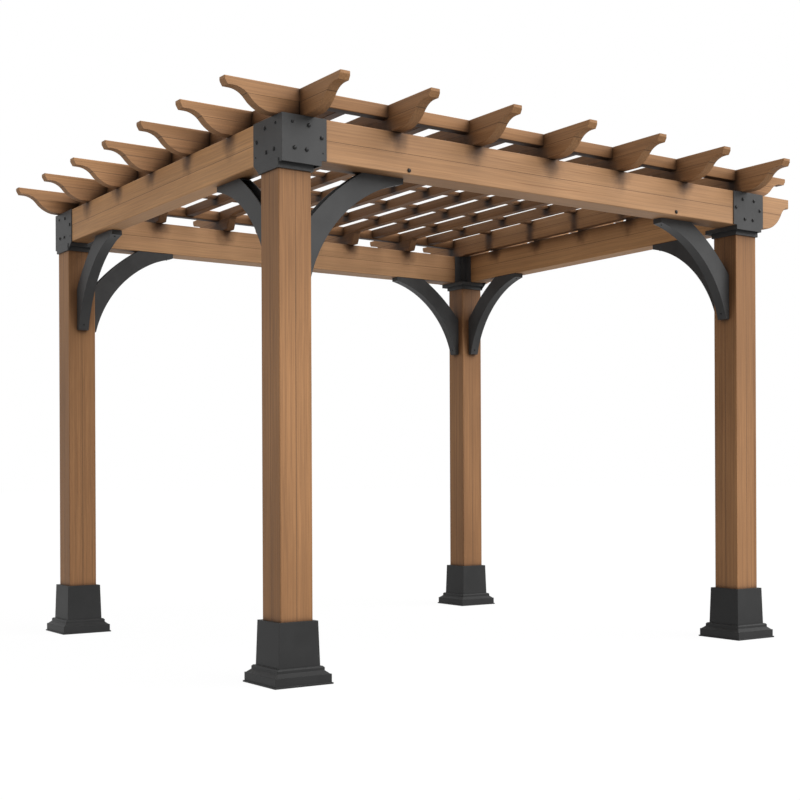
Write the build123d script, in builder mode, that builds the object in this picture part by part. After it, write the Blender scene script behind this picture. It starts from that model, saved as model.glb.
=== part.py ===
from build123d import *
import math
import os

# Wooden pergola on four posts, in millimetres.
# The origin is on the ground in the middle of the footprint. +X runs along the
# front beam to the right, +Y runs to the back and +Z is up. The front stands at -Y.

# Plan of the posts
post_size = 140.0
frame_length = 2640.0
frame_width = 2300.0
post_edge_radius = 4.0

# Beams, all with their top and underside level
beam_underside = 1975.0
beam_depth = 160.0
long_beam_thickness = 123.0
side_beam_thickness = 95.0
beam_proud = 28.0
beam_edge = 3.0

# Roof boards: rafters run from front to back, purlins from left to right
member_thickness = 45.0
member_depth = 110.0
member_count = 7
member_edge = 2.5
rafter_inset = 115.0
rafter_reach = 285.0
outer_rafter_span_depth = 105.0
lattice_depth = 45.0
rafter_bearing = 135.0
rafter_step = 30.0
purlin_inset = 24.0
purlin_reach = 222.0
edge_purlin_depth = 52.0
inner_purlin_depth = 16.0

# Scroll cut on the tails of the roof boards, measured from the tip and from the top
nose_height = 37.0
nose_undercut = 4.0
nose_step = 28.0
waist_in = 68.0
waist_down = 58.0
scroll_length = 158.0

# Scroll cut on the right ends of the front and back beams
beam_reach = 210.0
beam_nose_height = 45.0
beam_nose_step = 22.0
beam_waist_in = 52.0
beam_waist_down = 76.0
beam_scroll_length = 185.0

# Post bases of sheet metal
base_plate_size = 252.0
base_plate_thickness = 6.0
plinth_size = 243.0
plinth_height = 32.0
plinth_setback = 4.0
shoulder_height = 13.0
ledge_size = 204.0
ledge_height = 16.0
ledge_chamfer = 5.0
skirt_bottom_size = 179.0
skirt_top_size = 169.0
skirt_top = 238.0
skirt_lip = 5.0
base_wall = 4.0

# Corner brackets of folded sheet steel
sheet = 4.0
seat_depth = 20.0
seat_margin = 28.0
collar_wall = 7.0
collar_depth = 20.0
plate_past_post = 50.0
plate_end_past_post = 16.0
inner_plate_leg = 70.0
corner_box_size = 28.0

# Knee braces of bent steel channel, with their flat ends against post and beam
brace_width = 52.0
brace_on_beam = 455.0
brace_on_post = 440.0
brace_beam_contact = 195.0
brace_post_contact = 210.0
brace_outer_rise = 16.0
brace_inner_rise = 87.0
brace_tab = 22.0
brace_wall = 4.0

# Places that follow from the driving sizes
half_length = frame_length / 2
half_width = frame_width / 2
half_post = post_size / 2
beam_top = beam_underside + beam_depth
roof_top = beam_top + member_depth
seat_underside = beam_underside - seat_depth
post_top = beam_underside - sheet
long_beam_y = half_width + beam_proud - long_beam_thickness / 2
long_beam_inner = half_width + beam_proud - long_beam_thickness
side_beam_x = half_length - side_beam_thickness / 2

corners = {
    "front_left": (-1, -1),
    "front_right": (1, -1),
    "back_left": (-1, 1),
    "back_right": (1, 1),
}

os.makedirs("parts", exist_ok=True)


def save(piece, name):
    piece.label = name
    export_step(piece, "parts/" + name + ".step")


def spread(half_span, inset):
    """Centre lines of the roof boards across the frame, evenly spaced between the two insets."""
    first = inset - half_span
    gap = 2 * (half_span - inset) / (member_count - 1)
    return [first + gap * index for index in range(member_count)]


rafter_places = spread(half_length, rafter_inset)
purlin_places = spread(half_width, purlin_inset)


def make_post():
    """A square timber post, from its base plate up to the bracket's seat."""
    with BuildPart() as post:
        with BuildSketch(Plane.XY.offset(base_plate_thickness)):
            RectangleRounded(post_size, post_size, post_edge_radius)
        extrude(amount=post_top - base_plate_thickness)
    return post.part


def wall_taper(lower_size, upper_size, height):
    """Lean of a tapered square's walls from upright, in degrees."""
    return math.degrees(math.atan2(lower_size - upper_size, 2 * height))


def make_post_base():
    """A hollow metal base: ground plate, plinth, sloping shoulder, ledge and tapered skirt."""
    plinth_top = base_plate_thickness + plinth_height
    shoulder_top = plinth_top + shoulder_height
    ledge_top = shoulder_top + ledge_height
    shoulder_size = plinth_size - 2 * plinth_setback
    shoulder_taper = wall_taper(shoulder_size, ledge_size, shoulder_height)
    skirt_height = skirt_top - ledge_top
    skirt_taper = wall_taper(skirt_bottom_size, skirt_top_size, skirt_height)
    cavity_size = ledge_size - 2 * base_wall
    skirt_cavity_size = skirt_bottom_size - 2 * base_wall
    with BuildPart() as base:
        with BuildSketch():
            Rectangle(base_plate_size, base_plate_size)
        extrude(amount=base_plate_thickness)
        with BuildSketch(Plane.XY.offset(base_plate_thickness)):
            Rectangle(plinth_size, plinth_size)
        extrude(amount=plinth_height)
        with BuildSketch(Plane.XY.offset(plinth_top)):
            Rectangle(shoulder_size, shoulder_size)
        extrude(amount=shoulder_height, taper=shoulder_taper)
        with BuildSketch(Plane.XY.offset(shoulder_top)):
            Rectangle(ledge_size, ledge_size)
        extrude(amount=ledge_height)
        chamfer(base.faces().sort_by(Axis.Z)[-1].edges(), length=ledge_chamfer)
        with BuildSketch(Plane.XY.offset(ledge_top)):
            Rectangle(skirt_bottom_size, skirt_bottom_size)
        extrude(amount=skirt_height, taper=skirt_taper)
        with BuildSketch(Plane.XY.offset(base_plate_thickness)):
            Rectangle(cavity_size, cavity_size)
        extrude(amount=shoulder_top + ledge_height / 2 - base_plate_thickness, mode=Mode.SUBTRACT)
        with BuildSketch(Plane.XY.offset(ledge_top)):
            Rectangle(skirt_cavity_size, skirt_cavity_size)
        extrude(amount=skirt_height - skirt_lip, taper=skirt_taper, mode=Mode.SUBTRACT)
        with BuildSketch(Plane.XY.offset(shoulder_top)):
            Rectangle(skirt_cavity_size, skirt_cavity_size)
        extrude(amount=ledge_height, mode=Mode.SUBTRACT)
        with BuildSketch(Plane.XY.offset(skirt_top - skirt_lip)):
            Rectangle(post_size, post_size)
        extrude(amount=skirt_lip, mode=Mode.SUBTRACT)
    return base.part


def draw_scroll(side, tip, top, depth, nose, waist, length):
    """Nose, hollow and belly of a scroll end: the belly leaves the underside level and runs on."""
    nose_underside = nose[1]

    def at(along, below):
        return (side * (tip - along), top - below)

    Polyline(at(0, 0), at(0, nose_underside - nose_undercut), at(nose_undercut, nose_underside), at(*nose))
    belly = TangentArc(at(length, depth), at(*waist), tangent=(side, 0))
    TangentArc(at(*waist), at(*nose), tangent=belly % 1)


def make_roof_board(tip, bearing_end, step_length, span_depth):
    """A roof board along X: a scroll at each end, full depth over the beams, less between them."""
    span_under = roof_top - span_depth
    scroll_end = tip - scroll_length
    nose = (nose_step, nose_height)
    waist = (waist_in, waist_down)
    with BuildPart() as board:
        with BuildSketch(Plane.XZ.offset(-member_thickness / 2)):
            with BuildLine():
                for side in (-1, 1):
                    draw_scroll(side, tip, roof_top, member_depth, nose, waist, scroll_length)
                    Line((side * scroll_end, beam_top), (side * bearing_end, beam_top))
                    Line((side * bearing_end, beam_top), (side * (bearing_end - step_length), span_under))
                Line((step_length - bearing_end, span_under), (bearing_end - step_length, span_under))
                Line((-tip, roof_top), (tip, roof_top))
            make_face()
        extrude(amount=member_thickness)
        chamfer(board.faces().filter_by(Axis.Y).edges(), length=member_edge)
    return board.part


def purlin_depth(index):
    return edge_purlin_depth if index in (0, member_count - 1) else inner_purlin_depth


def make_rafter(span_depth):
    """A board from front to back, notched from above where the purlins are let in flush."""
    tip = half_width + rafter_reach
    bearing_end = half_width - rafter_bearing
    rafter = Rot(0, 0, 90) * make_roof_board(tip, bearing_end, rafter_step, span_depth)
    for index, y in enumerate(purlin_places):
        notch = Box(member_thickness, member_thickness, purlin_depth(index))
        rafter -= Pos(0, y, roof_top - purlin_depth(index) / 2) * notch
    return rafter


def make_rafters():
    """The two outer rafters stay deep along the side beams, the inner ones are light between the beams."""
    outer = make_rafter(outer_rafter_span_depth)
    inner = make_rafter(lattice_depth)
    row = [outer] + [inner] * (member_count - 2) + [outer]
    return [Pos(x, 0, 0) * rafter for x, rafter in zip(rafter_places, row)]


def make_slats():
    """Plain slats midway between the rafters, from the first purlin to the last and under the others."""
    half_slat = purlin_places[-1] - member_thickness / 2
    with BuildPart() as slat:
        with BuildSketch(Plane.XY.offset(roof_top - lattice_depth)):
            Rectangle(member_thickness, 2 * half_slat)
        extrude(amount=lattice_depth)
        chamfer(slat.edges().filter_by(Axis.Y).group_by(Axis.Z)[0], length=member_edge)
        with BuildSketch(Plane.XY.offset(roof_top - inner_purlin_depth)):
            with Locations([(0, y) for y in purlin_places[1:-1]]):
                Rectangle(member_thickness, member_thickness)
        extrude(amount=inner_purlin_depth, mode=Mode.SUBTRACT)
    half_bay = (rafter_places[1] - rafter_places[0]) / 2
    return [Pos(x + half_bay, 0, 0) * slat.part for x in rafter_places[:-1]]


def make_purlins():
    """Boards from left to right, with deep tails that end against the outer rafters."""
    tip = half_length + purlin_reach
    bearing_end = half_length - rafter_inset + member_thickness / 2
    purlins = []
    for index, y in enumerate(purlin_places):
        blank = make_roof_board(tip, bearing_end, 0, purlin_depth(index))
        purlins.append(Pos(0, y, 0) * blank)
    return purlins


def make_long_beam(side):
    """Front or back beam, square at the left and scroll-cut where it passes the right post."""
    tip = half_length + beam_reach
    nose = (beam_nose_step, beam_nose_height)
    waist = (beam_waist_in, beam_waist_down)
    with BuildPart() as beam:
        with BuildSketch(Plane.XZ.offset(-long_beam_thickness / 2)):
            with BuildLine():
                draw_scroll(1, tip, beam_top, beam_depth, nose, waist, beam_scroll_length)
                Line((tip - beam_scroll_length, beam_underside), (-half_length, beam_underside))
                Line((-half_length, beam_underside), (-half_length, beam_top))
                Line((-half_length, beam_top), (tip, beam_top))
            make_face()
        extrude(amount=long_beam_thickness)
        chamfer(beam.faces().filter_by(Axis.Y).edges(), length=beam_edge)
    return Pos(0, side * long_beam_y, 0) * beam.part


def make_side_beam(side):
    """Left or right beam, between the inner faces of the long beams."""
    with BuildPart() as beam:
        with BuildSketch(Plane.XY.offset(beam_underside)):
            with Locations((side * side_beam_x, 0)):
                Rectangle(side_beam_thickness, 2 * long_beam_inner)
        extrude(amount=beam_depth)
        chamfer(beam.edges().filter_by(Axis.Y), length=beam_edge)
    return beam.part


def make_bracket(beam_passes):
    """Corner bracket with the post's axis at the origin and the pergola's middle at +X and +Y."""
    outer_y = -half_post - beam_proud - sheet
    seat_edge = half_post + seat_margin
    collar_size = post_size + 2 * collar_wall
    collar_underside = seat_underside - collar_depth
    plate_end = half_post + plate_past_post
    plate_start = -half_post - (plate_end_past_post if beam_passes else sheet)
    side_start = long_beam_thickness - beam_proud - half_post if beam_passes else outer_y
    inner_x = side_beam_thickness - half_post
    inner_y = long_beam_thickness - beam_proud - half_post
    seat_middle = ((seat_edge - half_post - sheet) / 2, (outer_y + seat_edge) / 2)
    seat_along = seat_edge + half_post + sheet
    seat_across = seat_edge - outer_y
    with BuildPart() as bracket:
        with BuildSketch(Plane.XY.offset(seat_underside)):
            with Locations(seat_middle):
                Rectangle(seat_along, seat_across)
        extrude(amount=seat_depth)
        with BuildSketch(Plane.XY.offset(seat_underside)):
            with Locations(seat_middle):
                Rectangle(seat_along - 2 * sheet, seat_across - 2 * sheet)
        extrude(amount=seat_depth - sheet, mode=Mode.SUBTRACT)
        with BuildSketch(Plane.XY.offset(collar_underside)):
            Rectangle(collar_size, collar_size)
            RectangleRounded(post_size, post_size, post_edge_radius, mode=Mode.SUBTRACT)
        extrude(amount=collar_depth + seat_depth - sheet)
        with BuildSketch(Plane.XY.offset(beam_underside)):
            with Locations(((plate_start + plate_end) / 2, outer_y + sheet / 2)):
                Rectangle(plate_end - plate_start, sheet)
            with Locations((inner_x + inner_plate_leg / 2, inner_y + sheet / 2)):
                Rectangle(inner_plate_leg, sheet)
            with Locations((inner_x + sheet / 2, inner_y + inner_plate_leg / 2)):
                Rectangle(sheet, inner_plate_leg)
            with Locations((inner_x + corner_box_size / 2, inner_y + corner_box_size / 2)):
                Rectangle(corner_box_size, corner_box_size)
        extrude(amount=beam_depth)
        with BuildSketch(Plane.YZ.offset(-half_post - sheet)):
            Polygon(
                (side_start, beam_top),
                (plate_end, beam_top),
                (plate_end, beam_underside),
                (seat_edge, seat_underside),
                (half_post, collar_underside),
                (-half_post, collar_underside),
                (-half_post, seat_underside),
                (side_start, seat_underside if side_start < 0 else beam_underside),
                align=None,
            )
        extrude(amount=sheet)
    return bracket.part


def make_brace():
    """Curved knee brace, with its post face on X = 0, its beam face on Z = 0 and its back open."""
    outer_low = (0, brace_post_contact - brace_on_post)
    outer_high = (brace_on_beam - brace_beam_contact, 0)
    heel = (brace_tab, -brace_on_post)
    toe = (brace_on_beam, -brace_tab)
    inner_heel = (brace_tab - brace_wall, brace_wall - brace_on_post)
    inner_toe = (brace_on_beam - brace_wall, brace_wall - brace_tab)
    with BuildPart() as brace:
        with BuildSketch(Plane.XZ.offset(-brace_width / 2)):
            with BuildLine():
                Polyline(outer_low, (0, -brace_on_post), heel)
                SagittaArc(heel, toe, brace_inner_rise)
                Polyline(toe, (brace_on_beam, 0), outer_high)
                SagittaArc(outer_low, outer_high, brace_outer_rise)
            make_face()
        extrude(amount=brace_width)
        with BuildSketch(Plane.XZ.offset(-brace_width / 2 + brace_wall)):
            with BuildLine():
                SagittaArc(inner_heel, inner_toe, brace_inner_rise)
                Polyline(
                    inner_toe,
                    (inner_toe[0], -brace_wall),
                    (outer_high[0], -brace_wall),
                    (outer_high[0], brace_tab),
                    (-brace_tab, brace_tab),
                    (-brace_tab, outer_low[1]),
                    (brace_wall, outer_low[1]),
                    (brace_wall, inner_heel[1]),
                    inner_heel,
                )
            make_face()
        extrude(amount=brace_width - 2 * brace_wall, mode=Mode.SUBTRACT)
    return brace.part


post = make_post()
post_base = make_post_base()
plain_bracket = make_bracket(False)
passing_bracket = mirror(make_bracket(True), Plane.YZ)
brace = make_brace()

for corner, (along_x, along_y) in corners.items():
    place = Pos(along_x * (half_length - half_post), along_y * (half_width - half_post), 0)
    save(place * post, "post_" + corner)
    save(place * post_base, "post_base_" + corner)
    bracket = plain_bracket if along_x < 0 else passing_bracket
    save(place * (bracket if along_y < 0 else mirror(bracket, Plane.XZ)), "corner_bracket_" + corner)
    lift = place * Pos(0, 0, beam_underside)
    turn_along = Rot(0, 0, 0 if along_x < 0 else 180)
    turn_across = Rot(0, 0, 90 if along_y < 0 else -90)
    save(lift * turn_along * Pos(half_post, 0, 0) * brace, "brace_" + corner + "_along")
    save(lift * turn_across * Pos(half_post, 0, 0) * brace, "brace_" + corner + "_across")

save(make_long_beam(-1), "beam_front")
save(make_long_beam(1), "beam_back")
save(make_side_beam(-1), "beam_left")
save(make_side_beam(1), "beam_right")

for number, rafter in enumerate(make_rafters(), start=1):
    save(rafter, "rafter_" + str(number))
for number, slat in enumerate(make_slats(), start=1):
    save(slat, "slat_" + str(number))
for number, purlin in enumerate(make_purlins(), start=1):
    save(purlin, "purlin_" + str(number))
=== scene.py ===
# %% [markdown]
# # A wooden pergola
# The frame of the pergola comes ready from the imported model: posts, beams, roof boards and
# metal fittings, each a named node at its real place, in metres. This script gives them
# their finish, cuts the roof tails to their full scroll, adds the small fasteners, and sets
# up floor, light and camera.

# %% Load the frame
import math

import bpy
from mathutils import Matrix, Vector


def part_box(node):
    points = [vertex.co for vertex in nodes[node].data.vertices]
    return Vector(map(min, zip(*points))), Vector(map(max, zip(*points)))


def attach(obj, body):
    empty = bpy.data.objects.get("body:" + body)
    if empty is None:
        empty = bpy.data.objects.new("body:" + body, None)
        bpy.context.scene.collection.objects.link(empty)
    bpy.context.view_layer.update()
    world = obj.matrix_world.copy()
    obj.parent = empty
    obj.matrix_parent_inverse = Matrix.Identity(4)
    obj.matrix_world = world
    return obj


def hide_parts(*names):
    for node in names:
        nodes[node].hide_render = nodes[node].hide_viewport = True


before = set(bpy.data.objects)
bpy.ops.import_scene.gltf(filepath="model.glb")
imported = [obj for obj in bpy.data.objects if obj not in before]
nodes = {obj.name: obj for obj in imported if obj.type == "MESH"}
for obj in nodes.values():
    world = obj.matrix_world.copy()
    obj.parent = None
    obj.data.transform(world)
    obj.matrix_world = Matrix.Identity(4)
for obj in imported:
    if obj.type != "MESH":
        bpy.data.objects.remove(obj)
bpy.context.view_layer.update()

# %% [markdown]
# ## Measures taken from the frame
# Everything that is added later sits on a post, a beam or a bracket. The places could be typed
# in as numbers, but reading the corners from the frame keeps the added pieces in place when
# the frame changes.

# %% Read the corners
post_low, post_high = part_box("post_front_left")
beam_low, beam_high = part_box("beam_front")
board_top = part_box("rafter_1")[1].z
post_half = (post_high.x - post_low.x) / 2
post_x = (post_high.x + post_low.x) / -2
post_y = (post_high.y + post_low.y) / -2
beam_depth = beam_high.z - beam_low.z
beam_middle = (beam_low.z + beam_high.z) / 2
beam_outer_y = abs(beam_low.y)
beam_inner_y = beam_outer_y - (beam_high.y - beam_low.y)
side_beam_inner_x = -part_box("beam_left")[1].x
print("posts at", round(post_x, 4), round(post_y, 4), "beam seam at", round(beam_middle, 4))

# %% [markdown]
# ## Helpers for node materials
# A finish such as stained wood could be a picture wrapped round the board, but a picture has
# edges and a fixed size. A chain of small nodes works the pattern out at every point instead.
# These helpers add a node, set its options and join its inputs, so that each recipe below
# reads from top to bottom.


# %% Add and join nodes
def add(tree, kind, inputs=None, **settings):
    made = tree.nodes.new("ShaderNode" + kind)
    for name, value in settings.items():
        setattr(made, name, value)
    for key, value in (inputs or {}).items():
        if isinstance(value, bpy.types.NodeSocket):
            tree.links.new(value, made.inputs[key])
        else:
            made.inputs[key].default_value = value
    return made


def reckon(tree, operation, first, second=0.0, third=0.0):
    values = {0: first, 1: second, 2: third}
    return add(tree, "Math", values, operation=operation).outputs[0]


def new_material(name):
    material = bpy.data.materials.new(name)
    material.use_nodes = True
    tree = material.node_tree
    return material, tree, tree.nodes["Principled BSDF"]


print("node helpers ready")


# %% Mix and grade colours
def blend_colour(tree, kind, share, below, above):
    """The Mix node has sockets for several kinds of value: 6 and 7 take the two colours."""
    mixed = add(tree, "Mix", data_type="RGBA", blend_type=kind)
    for socket, value in ((0, share), (6, below), (7, above)):
        if isinstance(value, bpy.types.NodeSocket):
            tree.links.new(value, mixed.inputs[socket])
        else:
            mixed.inputs[socket].default_value = value
    return mixed.outputs[2]


def shaded(tree, colour, shade, share=1.0):
    return blend_colour(tree, "MULTIPLY", share, colour, shade)


def ramp(tree, value, stops, interpolation="LINEAR"):
    made = add(tree, "ValToRGB", {"Fac": value})
    made.color_ramp.interpolation = interpolation
    while len(made.color_ramp.elements) < len(stops):
        made.color_ramp.elements.new(0.5)
    for element, (place, colour) in zip(made.color_ramp.elements, stops):
        element.position = place
        element.color = (*colour, 1.0)
    return made.outputs["Color"]


print("colour helpers ready")

# %% [markdown]
# ## Grain
# The boards are softwood with a warm brown stain. Four layers make the look: straight fine
# streaks of early and late wood, finer pores, a few thin dark lines, and slow changes of tone.
# Noise that is stretched along the board gives all four. A board runs along X, Y or Z, and the
# grain has to run with it, so each layer takes the board's axis. A layer is three numbers: noise
# cycles per metre across the board, the same along it, and the noise's detail. The shift starts
# each finish at another place in the noise. Real grain wanders, so streaks and lines follow
# coordinates that are bent a little.

# %% Grain layers
streak_layer = (150.0, 0.6, 4.0)
pore_layer = (420.0, 6.0, 2.0)
line_layer = (60.0, 0.35, 2.0)
tone_layer = (3.6, 0.8, 2.0)
grain_roughness = 0.6


def grain(tree, place, axis, layer, shift):
    """Noise stretched along the board's axis."""
    across, along, detail = layer
    scale = [across] * 3
    scale["XYZ".index(axis)] = along
    mapped = add(tree, "Mapping", {"Vector": place, "Scale": scale, "Location": [shift] * 3})
    settings = {"Scale": 1.0, "Detail": detail, "Roughness": grain_roughness}
    return add(tree, "TexNoise", {"Vector": mapped.outputs["Vector"], **settings}).outputs["Fac"]


print("grain cycles per metre across", streak_layer[0], pore_layer[0], line_layer[0], tone_layer[0])

# %% Colour of the grain
white = (1.0, 1.0, 1.0)
wander_cycles = 1.6
wander_detail = 2.0
wander_reach = 0.02
line_shift = 7.0
streak_places = (0.30, 0.50, 0.70)
pore_stops = [(0.36, (0.80, 0.77, 0.74)), (0.56, white)]
pore_share = 0.55
line_stops = [(0.24, (0.70, 0.64, 0.58)), (0.33, white)]
tone_stops = [(0.30, (0.80, 0.77, 0.74)), (0.70, (1.18, 1.19, 1.22))]


def grain_colour(tree, place, axis, shift, stain):
    """The stained board's colour, and the streaks and pores, which are also its relief."""
    tint, contrast = stain
    wander = add(tree, "TexNoise", {"Vector": place, "Scale": wander_cycles, "Detail": wander_detail})
    bend_inputs = {0: wander.outputs["Color"], 1: [wander_reach] * 3}
    bend = add(tree, "VectorMath", bend_inputs, operation="MULTIPLY").outputs[0]
    flow = add(tree, "VectorMath", {0: place, 1: bend}, operation="ADD").outputs[0]
    streaks = grain(tree, flow, axis, streak_layer, shift)
    pores = grain(tree, place, axis, pore_layer, shift)
    lines = grain(tree, flow, axis, line_layer, shift + line_shift)
    tone = grain(tree, place, axis, tone_layer, shift)
    factors = (1.0 - contrast, 1.0, 1.0 + contrast)
    shades = [tuple(part * factor for part in tint) for factor in factors]
    colour = ramp(tree, streaks, list(zip(streak_places, shades)))
    colour = shaded(tree, colour, ramp(tree, pores, pore_stops), pore_share)
    colour = shaded(tree, colour, ramp(tree, lines, line_stops))
    colour = shaded(tree, colour, ramp(tree, tone, tone_stops))
    return colour, streaks, pores


print("grain colour ready")

# %% [markdown]
# ## Seams and painted shade at crossings
# Where two boards are glued together, a thin dark line runs along the timber. Where another board
# crosses, the wood is painted darker and blotched: this is painted shade, for the shadow that falls
# there. The lines could be cut into the mesh, but they are only about two millimetres wide, so a mask
# on the board's coordinates draws them. The crossings come at an even pitch, so a coordinate that
# wraps round once every pitch puts painted shade at all the crossings of a row, and noise frays its
# edges. On a beam the painted shade hangs down from its top, and on a roof board it takes its whole
# depth.

# %% Seams
seam_half_width = 0.0012
seam_colour = (0.050, 0.026, 0.013, 1.0)


def seam_mask(tree, parts, seams):
    """White on the thin lines where two boards are joined."""
    mask = None
    for axis, position in seams:
        mirrored = reckon(tree, "ABSOLUTE", parts.outputs[axis])
        away = reckon(tree, "ABSOLUTE", reckon(tree, "SUBTRACT", mirrored, position))
        line = reckon(tree, "LESS_THAN", away, seam_half_width)
        mask = line if mask is None else reckon(tree, "MAXIMUM", mask, line)
    return mask


print("seam width", seam_half_width * 2)

# %% Painted shade at crossings
# Painted shade where boards cross: its colour, how far it hangs down a beam, and its core and edge as
# shares of the reach.
painted_shade_stops = [(0.0, (0.26, 0.23, 0.21)), (1.0, white)]
shade_drop = 0.8
shade_core = 0.5
shade_edge = 1.4
fray_cycles = 14.0
fray_detail = 3.0
fray_share = 0.9


def painted_crossing_shade(tree, place, parts, axis, crossings):
    """Painted shade at the first crossing and once every pitch, fading within the reach."""
    first, pitch, reach, top = crossings
    along = reckon(tree, "SUBTRACT", parts.outputs[axis], first)
    away = reckon(tree, "ABSOLUTE", reckon(tree, "WRAP", along, pitch / 2, -pitch / 2))
    if top:
        below = reckon(tree, "MULTIPLY", reckon(tree, "SUBTRACT", top, parts.outputs["Z"]), shade_drop)
        squares = [reckon(tree, "POWER", length, 2.0) for length in (away, below)]
        away = reckon(tree, "SQRT", reckon(tree, "ADD", *squares))
    fray = add(tree, "TexNoise", {"Vector": place, "Scale": fray_cycles, "Detail": fray_detail})
    ragged = reckon(tree, "MULTIPLY_ADD", fray.outputs["Fac"], reach * fray_share, away)
    limits = {"From Min": reach * shade_core, "From Max": reach * shade_edge}
    spread = add(tree, "MapRange", {"Value": ragged, **limits})
    return ramp(tree, spread.outputs[0], painted_shade_stops, "EASE")


print("crossing marks ready")

# %% [markdown]
# ## Stained timber
# A board's finish starts with the grain. Painted shade darkens the inner corners where boards meet; it
# could be painted by hand, but an ambient occlusion node finds the corners by itself. Then comes the
# painted shade at the crossings, and then the seams. An inner roof board also gets painted shade, an
# overall darkening and the crossing shade, only as far as the roof covers it, and its ends in the open
# are clean. Streaks and pores lift the surface a little and change its gloss, so that the light shows
# the grain too.

# %% Timber recipe
# Painted shade in the inner corners where boards meet, found by an ambient occlusion node.
corner_shade_reach = 0.20
corner_shade_samples = 8
corner_shade_share = 0.95
corner_shade_stops = [(0.25, (0.08, 0.07, 0.06)), (0.62, (0.50, 0.46, 0.43)), (0.93, white)]
# Painted shade on the inner roof boards, over the length that the roof covers.
roof_shade_stops = [(0.0, (0.60, 0.57, 0.54)), (1.0, white)]
cover_inside = 0.02
cover_outside = 0.05
seam_share = 0.65
pore_relief = 0.6
seam_relief = 2.0
grain_relief = {"Strength": 0.3, "Distance": 0.0008}
grain_gloss = {"To Min": 0.52, "To Max": 0.68}
timber_specular = 0.30


def timber(name, axis, seams, shift, stain, crossings=None, covered=None):
    """Covered is how far from the middle a board lies under the roof."""
    material, tree, shader = new_material(name)
    place = add(tree, "TexCoord").outputs["Object"]
    parts = add(tree, "SeparateXYZ", {"Vector": place})
    colour, streaks, pores = grain_colour(tree, place, axis, shift, stain)
    # Painted shade in the inner corners.
    corner = add(tree, "AmbientOcclusion", {"Distance": corner_shade_reach}, samples=corner_shade_samples)
    colour = shaded(tree, colour, ramp(tree, corner.outputs["AO"], corner_shade_stops), corner_shade_share)
    if crossings:
        # Painted shade where other boards cross.
        painted_shade = painted_crossing_shade(tree, place, parts, axis, crossings)
        if covered:
            # Painted shade on an inner roof board as far as the roof covers it, and none in the open.
            limits = {"From Min": covered - cover_inside, "From Max": covered + cover_outside}
            from_middle = reckon(tree, "ABSOLUTE", parts.outputs[axis])
            in_open = add(tree, "MapRange", {"Value": from_middle, **limits}).outputs[0]
            colour = shaded(tree, colour, ramp(tree, in_open, roof_shade_stops))
            painted_shade = blend_colour(tree, "MIX", in_open, painted_shade, (*white, 1.0))
        colour = shaded(tree, colour, painted_shade)
    mask = seam_mask(tree, parts, seams)
    colour = blend_colour(tree, "MIX", reckon(tree, "MULTIPLY", mask, seam_share), colour, seam_colour)
    height = reckon(tree, "ADD", streaks, reckon(tree, "MULTIPLY", pores, pore_relief))
    height = reckon(tree, "SUBTRACT", height, reckon(tree, "MULTIPLY", mask, seam_relief))
    bump = add(tree, "Bump", {"Height": height, **grain_relief})
    rough = add(tree, "MapRange", {"Value": streaks, **grain_gloss})
    tree.links.new(colour, shader.inputs["Base Color"])
    tree.links.new(rough.outputs[0], shader.inputs["Roughness"])
    tree.links.new(bump.outputs[0], shader.inputs["Normal"])
    shader.inputs["Specular IOR Level"].default_value = timber_specular
    return material


print("timber recipe ready")

# %% [markdown]
# ## Powder-coated steel
# Bases, brackets and braces are folded steel with a matt charcoal powder coat. Powder melts into a
# very fine orange peel, which a small noise bump gives, and the coat varies slightly in tone and
# gloss. The folds could be rounded in the mesh, but a Bevel node rounds the light over them at no cost
# in faces. A matt coat mirrors little, so its specular level is low. The bases are darker than the
# other fittings: they get a darker shade of the same finish.

# %% Steel recipe
peel_cycles = 900.0
peel_detail = 2.0
peel_relief = {"Strength": 0.12, "Distance": 0.0004}
haze_cycles = 9.0
haze_detail = 4.0
haze_places = (0.35, 0.68)
haze_factors = (0.86, 1.14)
glossier = 0.05
duller = 0.07
fold_radius = 0.0018
fold_samples = 6
coat_specular = 0.22


def powder_coat(name, shade, roughness):
    material, tree, shader = new_material(name)
    place = add(tree, "TexCoord").outputs["Object"]
    peel = add(tree, "TexNoise", {"Vector": place, "Scale": peel_cycles, "Detail": peel_detail})
    haze = add(tree, "TexNoise", {"Vector": place, "Scale": haze_cycles, "Detail": haze_detail})
    shades = [tuple(shade * factor for _ in range(3)) for factor in haze_factors]
    colour = ramp(tree, haze.outputs["Fac"], list(zip(haze_places, shades)))
    gloss = {"To Min": roughness - glossier, "To Max": roughness + duller}
    rough = add(tree, "MapRange", {"Value": haze.outputs["Fac"], **gloss})
    folded = add(tree, "Bevel", {"Radius": fold_radius}, samples=fold_samples)
    surface = {"Height": peel.outputs["Fac"], "Normal": folded.outputs[0]}
    bump = add(tree, "Bump", {**surface, **peel_relief})
    tree.links.new(colour, shader.inputs["Base Color"])
    tree.links.new(rough.outputs[0], shader.inputs["Roughness"])
    tree.links.new(bump.outputs[0], shader.inputs["Normal"])
    shader.inputs["Specular IOR Level"].default_value = coat_specular
    return material


print("steel recipe ready")

# %% [markdown]
# ## Where seams and painted shade fall
# The posts are laminated from four square strips, so a seam runs down the middle of each face. A beam
# is two boards, one on the other, with the seam at half its depth, and a roof board has its seam a
# little below the top. Each could be given by its own number for every board, but the boards of a row
# have one pitch, so the first two boards tell where all the painted shade at the crossings falls.

# %% Find seams and crossings
strip_depth = 0.052
# How far the painted shade spreads from each crossing, on beams, boards and slats.
beam_shade_reach = 0.085
board_shade_reach = 0.055
slat_shade_reach = 0.050
post_seams = [(0, post_x), (1, post_y)]
beam_seams = [(2, beam_middle)]
board_seams = [(2, board_top - strip_depth)]


def row(kind, axis):
    """Middle of the first board of a row, and the pitch of the row."""
    first, second = [sum(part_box(kind + number), Vector())[axis] / 2 for number in ("1", "2")]
    return first, second - first


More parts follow.
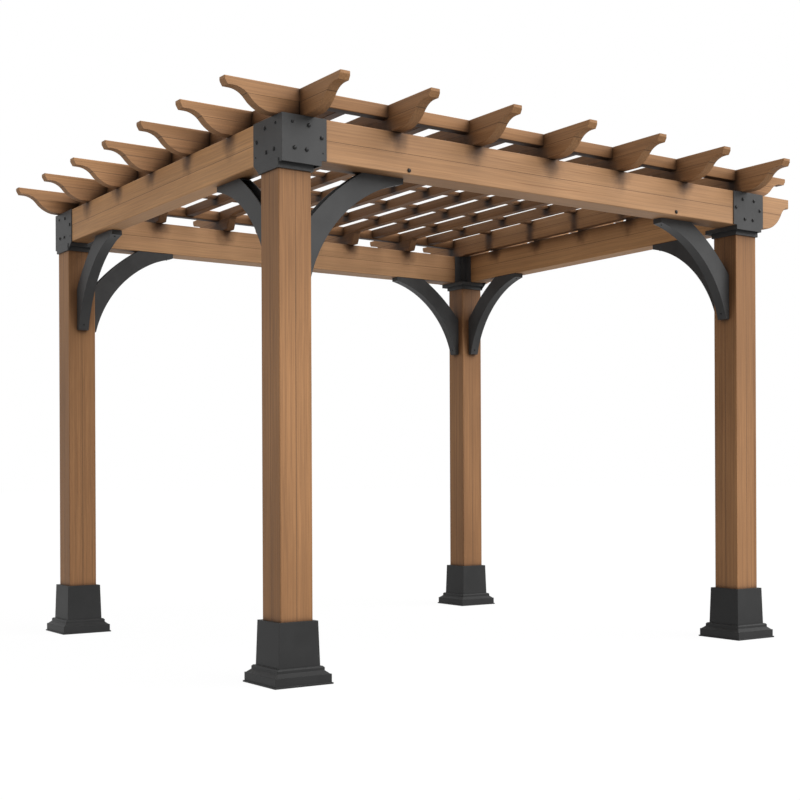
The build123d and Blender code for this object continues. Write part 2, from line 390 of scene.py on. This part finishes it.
first_rafter, rafter_pitch = row("rafter_", 0)
first_purlin, purlin_pitch = row("purlin_", 1)
under_rafters = (first_rafter, rafter_pitch, beam_shade_reach, beam_high.z)
under_purlins = (first_purlin, purlin_pitch, beam_shade_reach, beam_high.z)
at_purlins = (first_purlin, purlin_pitch, board_shade_reach, None)
at_rafters = (first_rafter, rafter_pitch, board_shade_reach, None)
at_slats = (first_rafter, rafter_pitch / 2, slat_shade_reach, None)
print("pitch of rafters", round(rafter_pitch, 4), "of purlins", round(purlin_pitch, 4))

# %% [markdown]
# ## Mix the finishes
# All the timber has one kind of stain, but on the beams it came out lighter than on the posts and roof
# boards. So each kind has its own tint, and a contrast that says how far the streaks go above and
# below it. The side beams' tint is lighter still; that extra lightness is painted light, for the
# brighter light that falls on the left beam's outer face. The grain runs along Z in posts, along X in
# long beams and purlins,
# and along Y in side beams, rafters and slats. Every board could have a finish of its own, but
# the noise already differs from place to place, so one for each kind of board is enough.

# %% Timber finishes
post_stain = ((0.310, 0.153, 0.062), 0.22)
long_beam_stain = ((0.450, 0.250, 0.120), 0.14)
# Partly painted light: lighter than the long beams' tint, for the brighter light on the left beam's
# outer face.
side_beam_lit_stain = ((0.510, 0.272, 0.116), 0.16)
board_stain = ((0.345, 0.178, 0.076), 0.20)
timbers = (
    ("post", "Z", post_seams, 3.0, post_stain),
    ("long_beam", "X", beam_seams, 11.0, long_beam_stain, under_rafters),
    ("side_beam", "Y", beam_seams, 17.0, side_beam_lit_stain, under_purlins),
    ("outer_rafter", "Y", board_seams, 23.0, board_stain, at_purlins),
    ("inner_rafter", "Y", board_seams, 27.0, board_stain, at_purlins, beam_inner_y),
    ("outer_purlin", "X", board_seams, 31.0, board_stain, at_rafters),
    ("inner_purlin", "X", board_seams, 37.0, board_stain, at_slats, side_beam_inner_x),
)
finishes = {part: timber(part + "_timber", *recipe) for part, *recipe in timbers}
print("timber finishes", len(finishes))

# %% Steel finishes
finishes["base"] = powder_coat("base_powder_coat", 0.019, 0.50)
finishes["fitting"] = powder_coat("fitting_powder_coat", 0.050, 0.46)
finishes["bolt"] = powder_coat("bolt_coat", 0.012, 0.30)
print("all finishes", len(finishes))

# %% [markdown]
# ## Give every node its finish
# On the real pergola each board and fitting is finished before it is put up. Here each node
# takes a finish by its name, which tells what kind of piece it is, so nothing has to be
# picked by hand. The slats share the finish of the inner rafters that they lie between.

# %% Assign the finishes
outer_boards = ("rafter_1", "rafter_7", "purlin_1", "purlin_7")


def finish_for(name):
    if name.startswith("post_base"):
        return finishes["base"]
    if name.startswith(("brace", "corner_bracket")):
        return finishes["fitting"]
    if name.startswith("post"):
        return finishes["post"]
    if name in ("beam_front", "beam_back"):
        return finishes["long_beam"]
    if name.startswith("beam"):
        return finishes["side_beam"]
    part = "outer" if name in outer_boards else "inner"
    return finishes[part + ("_purlin" if name.startswith("purlin") else "_rafter")]


for name, node in nodes.items():
    node.data.materials.clear()
    node.data.materials.append(finish_for(name))
print("finished nodes", len(nodes))

# %% [markdown]
# ## The scroll of the roof tails
# A joiner cuts the tails with a router that follows a template: in from the tip under a thin
# nose, round a hollow, then along a belly that meets the underside level. The plain boards
# have a shallower cut, so each is copied and cut again. The cutting tool could be drawn as a
# list of points, but two spins give true arcs: the hollow turns about a centre below the
# board, the belly about one above it, and both are level where they end, so the line is smooth.
# The belly ends a hair below the underside, so that the tool doesn't shave it. With no window
# open, spin turns against the right-hand rule, so the angles' signs look swapped.

# %% Path of the router
nose_face = 0.011
nose_depth = 0.031
nose_run = 0.012
waist_in = 0.102
waist_down = 0.062
scroll_length = 0.205
underside_gap = 0.0001
scroll_depth = board_top - beam_high.z + underside_gap
belly_drop = scroll_depth - waist_down
belly_run = scroll_length - waist_in
belly_radius = (belly_run**2 + belly_drop**2) / (2 * belly_drop)
scroll_turn = math.asin(belly_run / belly_radius)
hollow_radius = (waist_down - nose_depth) / (1 - math.cos(scroll_turn))
nose_step = waist_in - hollow_radius * math.sin(scroll_turn)
print("scroll turns", round(math.degrees(scroll_turn), 1), "nose step", round(nose_step, 4))

# %% Make the cutting tool
tool_width = 0.060
tool_depth = 0.150
run_out = 0.020
run_out_drop = 0.002
hollow_steps = 9
belly_steps = 11
touching = 0.001


def extrude_by(move):
    bpy.ops.mesh.extrude_region_move(TRANSFORM_OT_translate={"value": move})


def make_scroll_tool(tip, top):
    """All below the scroll of a board along X that ends at the tip and has its top at z = top."""
    bpy.ops.object.select_all(action="DESELECT")
    start = (tip + tool_width / 2, 0, top - nose_face)
    bpy.ops.mesh.primitive_plane_add(size=tool_width, location=start)
    tool = bpy.context.object
    bpy.ops.object.transform_apply(location=True)
    bpy.ops.object.mode_set(mode="EDIT")
    bpy.ops.mesh.select_mode(type="EDGE")
    bpy.ops.mesh.select_all(action="DESELECT")
    bpy.ops.object.mode_set(mode="OBJECT")
    corners = tool.data.vertices
    for edge in tool.data.edges:
        edge.select = all(abs(corners[index].co.x - tip) < touching for index in edge.vertices)
    bpy.ops.object.mode_set(mode="EDIT")
    extrude_by((-nose_run, 0, nose_face - nose_depth))
    extrude_by((nose_run - nose_step, 0, 0))
    hollow_centre = (tip - nose_step, 0, top - nose_depth - hollow_radius)
    bpy.ops.mesh.spin(steps=hollow_steps, angle=scroll_turn, center=hollow_centre, axis=(0, 1, 0))
    belly_centre = (tip - scroll_length, 0, top - scroll_depth + belly_radius)
    bpy.ops.mesh.spin(steps=belly_steps, angle=-scroll_turn, center=belly_centre, axis=(0, 1, 0))
    extrude_by((-run_out, 0, -run_out_drop))
    bpy.ops.mesh.select_all(action="SELECT")
    extrude_by((0, 0, -tool_depth))
    bpy.ops.mesh.select_all(action="SELECT")
    bpy.ops.mesh.normals_make_consistent(inside=False)
    bpy.ops.object.mode_set(mode="OBJECT")
    print("tool faces", len(tool.data.polygons))
    return tool


# %% Cut one board
merge_distance = 0.00001
flat_angle = math.radians(0.5)
board_smooth_angle = math.radians(25)


def turned_tool(tool, angle, middle):
    """A copy of the tool, turned about Z and moved sideways to the middle of its board."""
    copied = bpy.data.objects.new("tool", tool.data.copy())
    bpy.context.scene.collection.objects.link(copied)
    copied.data.transform(Matrix.Translation(middle) @ Matrix.Rotation(angle, 4, "Z"))
    return copied


def cut_tails(name, tool, angle, middle):
    """Cuts both ends of a copy of the board, which then stands for its node."""
    bpy.ops.object.select_all(action="DESELECT")
    board = bpy.data.objects.new(name + "_scrolled", nodes[name].data.copy())
    bpy.context.scene.collection.objects.link(board)
    board.select_set(True)
    bpy.context.view_layer.objects.active = board
    bpy.ops.object.mode_set(mode="EDIT")
    bpy.ops.mesh.select_all(action="SELECT")
    bpy.ops.mesh.remove_doubles(threshold=merge_distance)
    bpy.ops.mesh.dissolve_limited(angle_limit=flat_angle)
    bpy.ops.object.mode_set(mode="OBJECT")
    for turn in (angle, angle + math.pi):
        cutter = turned_tool(tool, turn, middle)
        cut = board.modifiers.new("cut", "BOOLEAN")
        cut.operation = "DIFFERENCE"
        cut.solver = "EXACT"
        cut.object = cutter
        bpy.ops.object.modifier_apply(modifier=cut.name)
        bpy.data.objects.remove(cutter)
    bpy.ops.object.shade_smooth_by_angle(angle=board_smooth_angle)
    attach(board, "root")
    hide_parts(name)
    print(board.name, "faces", len(board.data.polygons))


# %% Cut every tail
for kind, axis, angle in (("rafter_", 1, math.pi / 2), ("purlin_", 0, 0.0)):
    names = sorted(name for name in nodes if name.startswith(kind))
    tool = make_scroll_tool(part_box(names[0])[1][axis], board_top)
    for name in names:
        low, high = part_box(name)
        middle = (low + high) / 2
        middle.z = 0
        middle[axis] = 0
        cut_tails(name, tool, angle, middle)
    bpy.data.objects.remove(tool)

# %% [markdown]
# ## One round-headed bolt
# Carriage bolts hold the bracket plates: a low round dome about 16 mm across. It could be cut
# from a sphere, but most of those faces would be hidden. So it starts as a short cylinder, and
# its top face is inset and lifted twice, which gives the dome without any spare faces. All the
# other bolts are copies of this one.


# %% Selection helpers
def pick_faces(piece, rule):
    """Leaves edit mode open with only the faces that fit the rule selected."""
    bpy.ops.object.mode_set(mode="EDIT")
    bpy.ops.mesh.select_mode(type="FACE")
    bpy.ops.mesh.select_all(action="DESELECT")
    bpy.ops.object.mode_set(mode="OBJECT")
    for face in piece.data.polygons:
        face.select = rule(face)
    bpy.ops.object.mode_set(mode="EDIT")


def settle(piece, name, finish):
    """Puts the piece's place into its mesh and gives it its name and finish."""
    bpy.ops.object.select_all(action="DESELECT")
    piece.select_set(True)
    bpy.context.view_layer.objects.active = piece
    bpy.ops.object.transform_apply(location=True, rotation=True, scale=True)
    piece.name = name
    piece.data.name = name
    piece.data.materials.clear()
    piece.data.materials.append(finish)
    return piece


print("selection helpers ready")

# %% Model the bolt
bolt_radius = 0.008
bolt_rim = 0.0025
bolt_sides = 16
dome_steps = ((0.0016, 0.0016), (0.0030, 0.0012))
faces_up = 0.9
bolt_smooth_angle = math.radians(50)
rim_size = {"vertices": bolt_sides, "radius": bolt_radius, "depth": bolt_rim}
bpy.ops.object.select_all(action="DESELECT")
bpy.ops.mesh.primitive_cylinder_add(**rim_size, location=(0, 0, bolt_rim / 2))
bolt = bpy.context.object
pick_faces(bolt, lambda face: face.normal.z > faces_up)
for inset, lift in dome_steps:
    bpy.ops.mesh.inset(thickness=inset)
    bpy.ops.transform.translate(value=(0, 0, lift))
bpy.ops.object.mode_set(mode="OBJECT")
bpy.ops.object.shade_smooth_by_angle(angle=bolt_smooth_angle)
bolt = settle(bolt, "bolt_pattern", finishes["bolt"])
print("bolt faces", len(bolt.data.polygons), "height", round(bolt.dimensions.z, 4))

# %% [markdown]
# ## Bolts in the corner brackets
# A corner plate has two bolts near the top, two near the bottom, one by its end and a small
# one below that. A plate that passes the post has its end bolts at half depth, and a narrow
# plate has only four. Each bolt could be given its own three coordinates, but a place as a
# share of the plate's length and depth serves every plate of its kind. The third number is
# the bolt's size. A copy has its own mesh, turned so that the dome faces outwards, and the
# bolts of one bracket are joined into one piece.

# %% Bolt places on a plate
corner_plate = [
    (0.23, 0.18, 0.75), (0.60, 0.21, 1), (0.89, 0.46, 1),
    (0.28, 0.78, 1), (0.55, 0.79, 1), (0.92, 0.82, 0.4),
]
passing_plate = [
    (0.31, 0.22, 1), (0.69, 0.22, 1), (0.08, 0.48, 1),
    (0.89, 0.49, 1), (0.38, 0.80, 1), (0.65, 0.80, 1),
]
narrow_plate = [(0.30, 0.21, 1), (0.74, 0.21, 1), (0.30, 0.79, 1), (0.74, 0.79, 1)]
print("bolts on each kind of plate", len(corner_plate), len(passing_plate), len(narrow_plate))


# %% Copy and join bolts
def copy_bolt(place, outwards, size=1.0):
    copied = bpy.data.objects.new("bolt", bolt.data.copy())
    bpy.context.scene.collection.objects.link(copied)
    turn = Vector(outwards).to_track_quat("Z", "Y").to_matrix().to_4x4()
    copied.data.transform(Matrix.Translation(place) @ turn @ Matrix.Scale(size, 4))
    return copied


def plate_bolts(pattern, start, end, outwards):
    """Bolts on a plate that hangs from the beam's top and runs from start to end, in plan."""
    start = Vector((*start, beam_high.z))
    end = Vector((*end, beam_high.z))
    made = []
    for along, down, size in pattern:
        place = start.lerp(end, along) - Vector((0, 0, down * beam_depth))
        made.append(copy_bolt(place, outwards, size))
    return made


def join(pieces, name, finish):
    bpy.ops.object.select_all(action="DESELECT")
    for piece in pieces:
        piece.select_set(True)
    bpy.context.view_layer.objects.active = pieces[0]
    bpy.ops.object.join()
    joined = settle(bpy.context.object, name, finish)
    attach(joined, "root")
    print(joined.name, "faces", len(joined.data.polygons))


# %% Bolt each bracket
sheet = 0.004
plate_past_post = 0.050
plate_end_past_post = 0.016
for side_x, along in ((-1, "left"), (1, "right")):
    for side_y, across in ((-1, "front"), (1, "back")):
        outer_x = side_x * (post_x + post_half)
        inner_x = side_x * (post_x - post_half - plate_past_post)
        face_x = outer_x + side_x * sheet
        face_y = side_y * (beam_outer_y + sheet)
        far_y = side_y * (post_y - post_half - plate_past_post)
        if side_x < 0:
            long_pattern, start_x, end_x = corner_plate, face_x, inner_x
            side_pattern, near_y = corner_plate, face_y
        else:
            long_pattern, start_x, end_x = passing_plate, inner_x, outer_x + plate_end_past_post
            side_pattern, near_y = narrow_plate, side_y * beam_inner_y
        bolts = plate_bolts(long_pattern, (start_x, face_y), (end_x, face_y), (0, side_y, 0))
        bolts += plate_bolts(side_pattern, (face_x, near_y), (face_x, far_y), (side_x, 0, 0))
        join(bolts, "bracket_bolts_" + across + "_" + along, finishes["bolt"])

# %% [markdown]
# ## Bolts through the long beams
# Each brace that runs along the front or back beam is held at its toe by a bolt through the
# beam, which shows low on the beam's outer face. Its place could be measured from the beam's
# end, but it belongs to the brace, so it is measured from the brace's toe.

# %% Toe bolts
toe_height = 0.016
toe_back = 0.022
for side_y, across in ((-1, "front"), (1, "back")):
    bolts = []
    for side_x, along in ((-1, "left"), (1, "right")):
        brace_low, brace_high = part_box("brace_" + across + "_" + along + "_along")
        toe_x = (brace_high.x - toe_back) if side_x < 0 else (brace_low.x + toe_back)
        place = (toe_x, side_y * beam_outer_y, beam_low.z + toe_height)
        bolts.append(copy_bolt(place, (0, side_y, 0)))
    join(bolts, "toe_bolts_" + across, finishes["bolt"])

# %% [markdown]
# ## Screws in the knee braces
# A screw through the curved web holds each brace to the post near its heel, and another holds
# its toe to the beam. The web is curved, so working out the place and the tilt by hand would
# take some geometry. Instead the height or reach of the screw is chosen, and a ray that is
# sent to the brace finds the surface and the way that it faces.

# %% Brace screws
screw_size = 0.55
screw_from_end = 0.026
for name in sorted(name for name in nodes if name.startswith("brace")):
    low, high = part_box(name)
    middle = (low + high) / 2
    along = 0 if name.endswith("along") else 1
    towards_post = -1 if middle[along] < 0 else 1
    to_post = Vector((0, 0, 0))
    to_post[along] = towards_post
    heel_start = Vector((middle.x, middle.y, low.z + screw_from_end))
    heel_start[along] = 0
    toe_start = Vector((middle.x, middle.y, low.z))
    toe_start[along] = (high if towards_post < 0 else low)[along] + towards_post * screw_from_end
    screws = []
    for start, heading in ((heel_start, to_post), (toe_start, Vector((0, 0, 1)))):
        found, place, outwards, _ = nodes[name].ray_cast(start, heading)
        if found:
            screws.append(copy_bolt(place, outwards, screw_size))
    join(screws, "screws_" + name, finishes["bolt"])
bpy.data.objects.remove(bolt)

# %% [markdown]
# ## Floor and surroundings
# The pergola stands on a pale studio floor in white surroundings. Stronger lamps could make
# them white, but they would bleach the wood as well. So the camera, and any gloss or glass,
# sees the floor and the surround as white, and the light that they send to the object stays
# at a plain level. The floor keeps a part of its own shading, so the bases still cast a soft
# shadow.


# %% Rays that show the background
def background_rays(tree):
    """1 for the camera's rays and for those in gloss or glass, 0 for those that light things."""
    rays = add(tree, "LightPath").outputs
    mirrored = reckon(tree, "MAXIMUM", rays["Is Glossy Ray"], rays["Is Transmission Ray"])
    return reckon(tree, "MAXIMUM", rays["Is Camera Ray"], mirrored)


print("background rays ready")

# %% Floor
floor_size = 160.0
floor_gap = 0.0005
floor_shading = 0.12
floor_albedo = 0.36
floor_lit = 0.36
floor_glow = (1.0 - floor_shading * floor_lit) / (1.0 - floor_shading)
bpy.ops.object.select_all(action="DESELECT")
bpy.ops.mesh.primitive_plane_add(size=floor_size, location=(0, 0, -floor_gap))
floor = bpy.context.object
floor.name = "studio_floor"
material, tree, shader = new_material("studio_floor_paint")
shader.inputs["Base Color"].default_value = (floor_albedo, floor_albedo, floor_albedo, 1.0)
shader.inputs["Roughness"].default_value = 1.0
shader.inputs["Specular IOR Level"].default_value = 0.0
glow = add(tree, "Emission", {"Strength": floor_glow})
seen = reckon(tree, "MULTIPLY", background_rays(tree), 1.0 - floor_shading)
paint = add(tree, "MixShader", {0: seen, 1: shader.outputs[0], 2: glow.outputs[0]})
tree.links.new(paint.outputs[0], tree.nodes["Material Output"].inputs["Surface"])
floor.data.materials.append(material)
print("floor", floor.dimensions.x, "glow", round(floor_glow, 3))

# %% Surround
soft_light = 0.62
world = bpy.data.worlds.new("studio")
bpy.context.scene.world = world
world.use_nodes = True
tree = world.node_tree
limits = {"To Min": soft_light, "To Max": 1.0}
level = add(tree, "MapRange", {"Value": background_rays(tree), **limits})
tree.links.new(level.outputs[0], tree.nodes["Background"].inputs["Strength"])
tree.nodes["Background"].inputs["Color"].default_value = (1.0, 1.0, 1.0, 1.0)
print("soft light", soft_light)

# %% [markdown]
# ## Light
# The key light comes from the front right and above. It makes the faces towards the front the
# brightest. A single lamp close by would light one corner more than the others, so a distant
# sun is used, 65 degrees wide, as wide as a large soft box nearby: the roof tails drop only
# soft shadows on the front beam. The faces towards the left get the soft light of the surround
# and what the floor sends back.

# %% Key light
key_strength = 3.1
key_width_degrees = 65
key_heading = Vector((-0.43, 0.61, -0.67))
key_light = bpy.data.objects.new("key_light", bpy.data.lights.new("key_light", "SUN"))
key_light.data.energy = key_strength
key_light.data.angle = math.radians(key_width_degrees)
key_light.rotation_euler = key_heading.to_track_quat("-Z", "Y").to_euler()
bpy.context.scene.collection.objects.link(key_light)
print("key light", key_strength)

# %% [markdown]
# ## Camera
# The photograph was taken from low in front of the left corner. A camera that is tilted up
# would make the posts lean together, so this one is held level and its view is shifted
# upwards, which keeps the posts upright. The focal length and the shift are measured in the
# photograph's pixels, and shares of its width turn them into the camera's own units.

# %% Camera
eye = (-3.7765, -5.5087, 0.7719)
turn_degrees = 34.531
roll_degrees = 0.243
picture_width = 800
focal_pixels = 1337.28
shift_pixels = 79.03
camera_data = bpy.data.cameras.new("camera")
camera_data.sensor_width = 36.0
camera_data.lens = focal_pixels / picture_width * camera_data.sensor_width
camera_data.shift_y = shift_pixels / picture_width
camera = bpy.data.objects.new("camera", camera_data)
camera.location = eye
camera.rotation_euler = [math.radians(angle) for angle in (90, roll_degrees, -turn_degrees)]
bpy.context.scene.collection.objects.link(camera)
bpy.context.scene.camera = camera
bpy.context.scene.view_settings.view_transform = "Standard"
print("lens", round(camera_data.lens, 2))
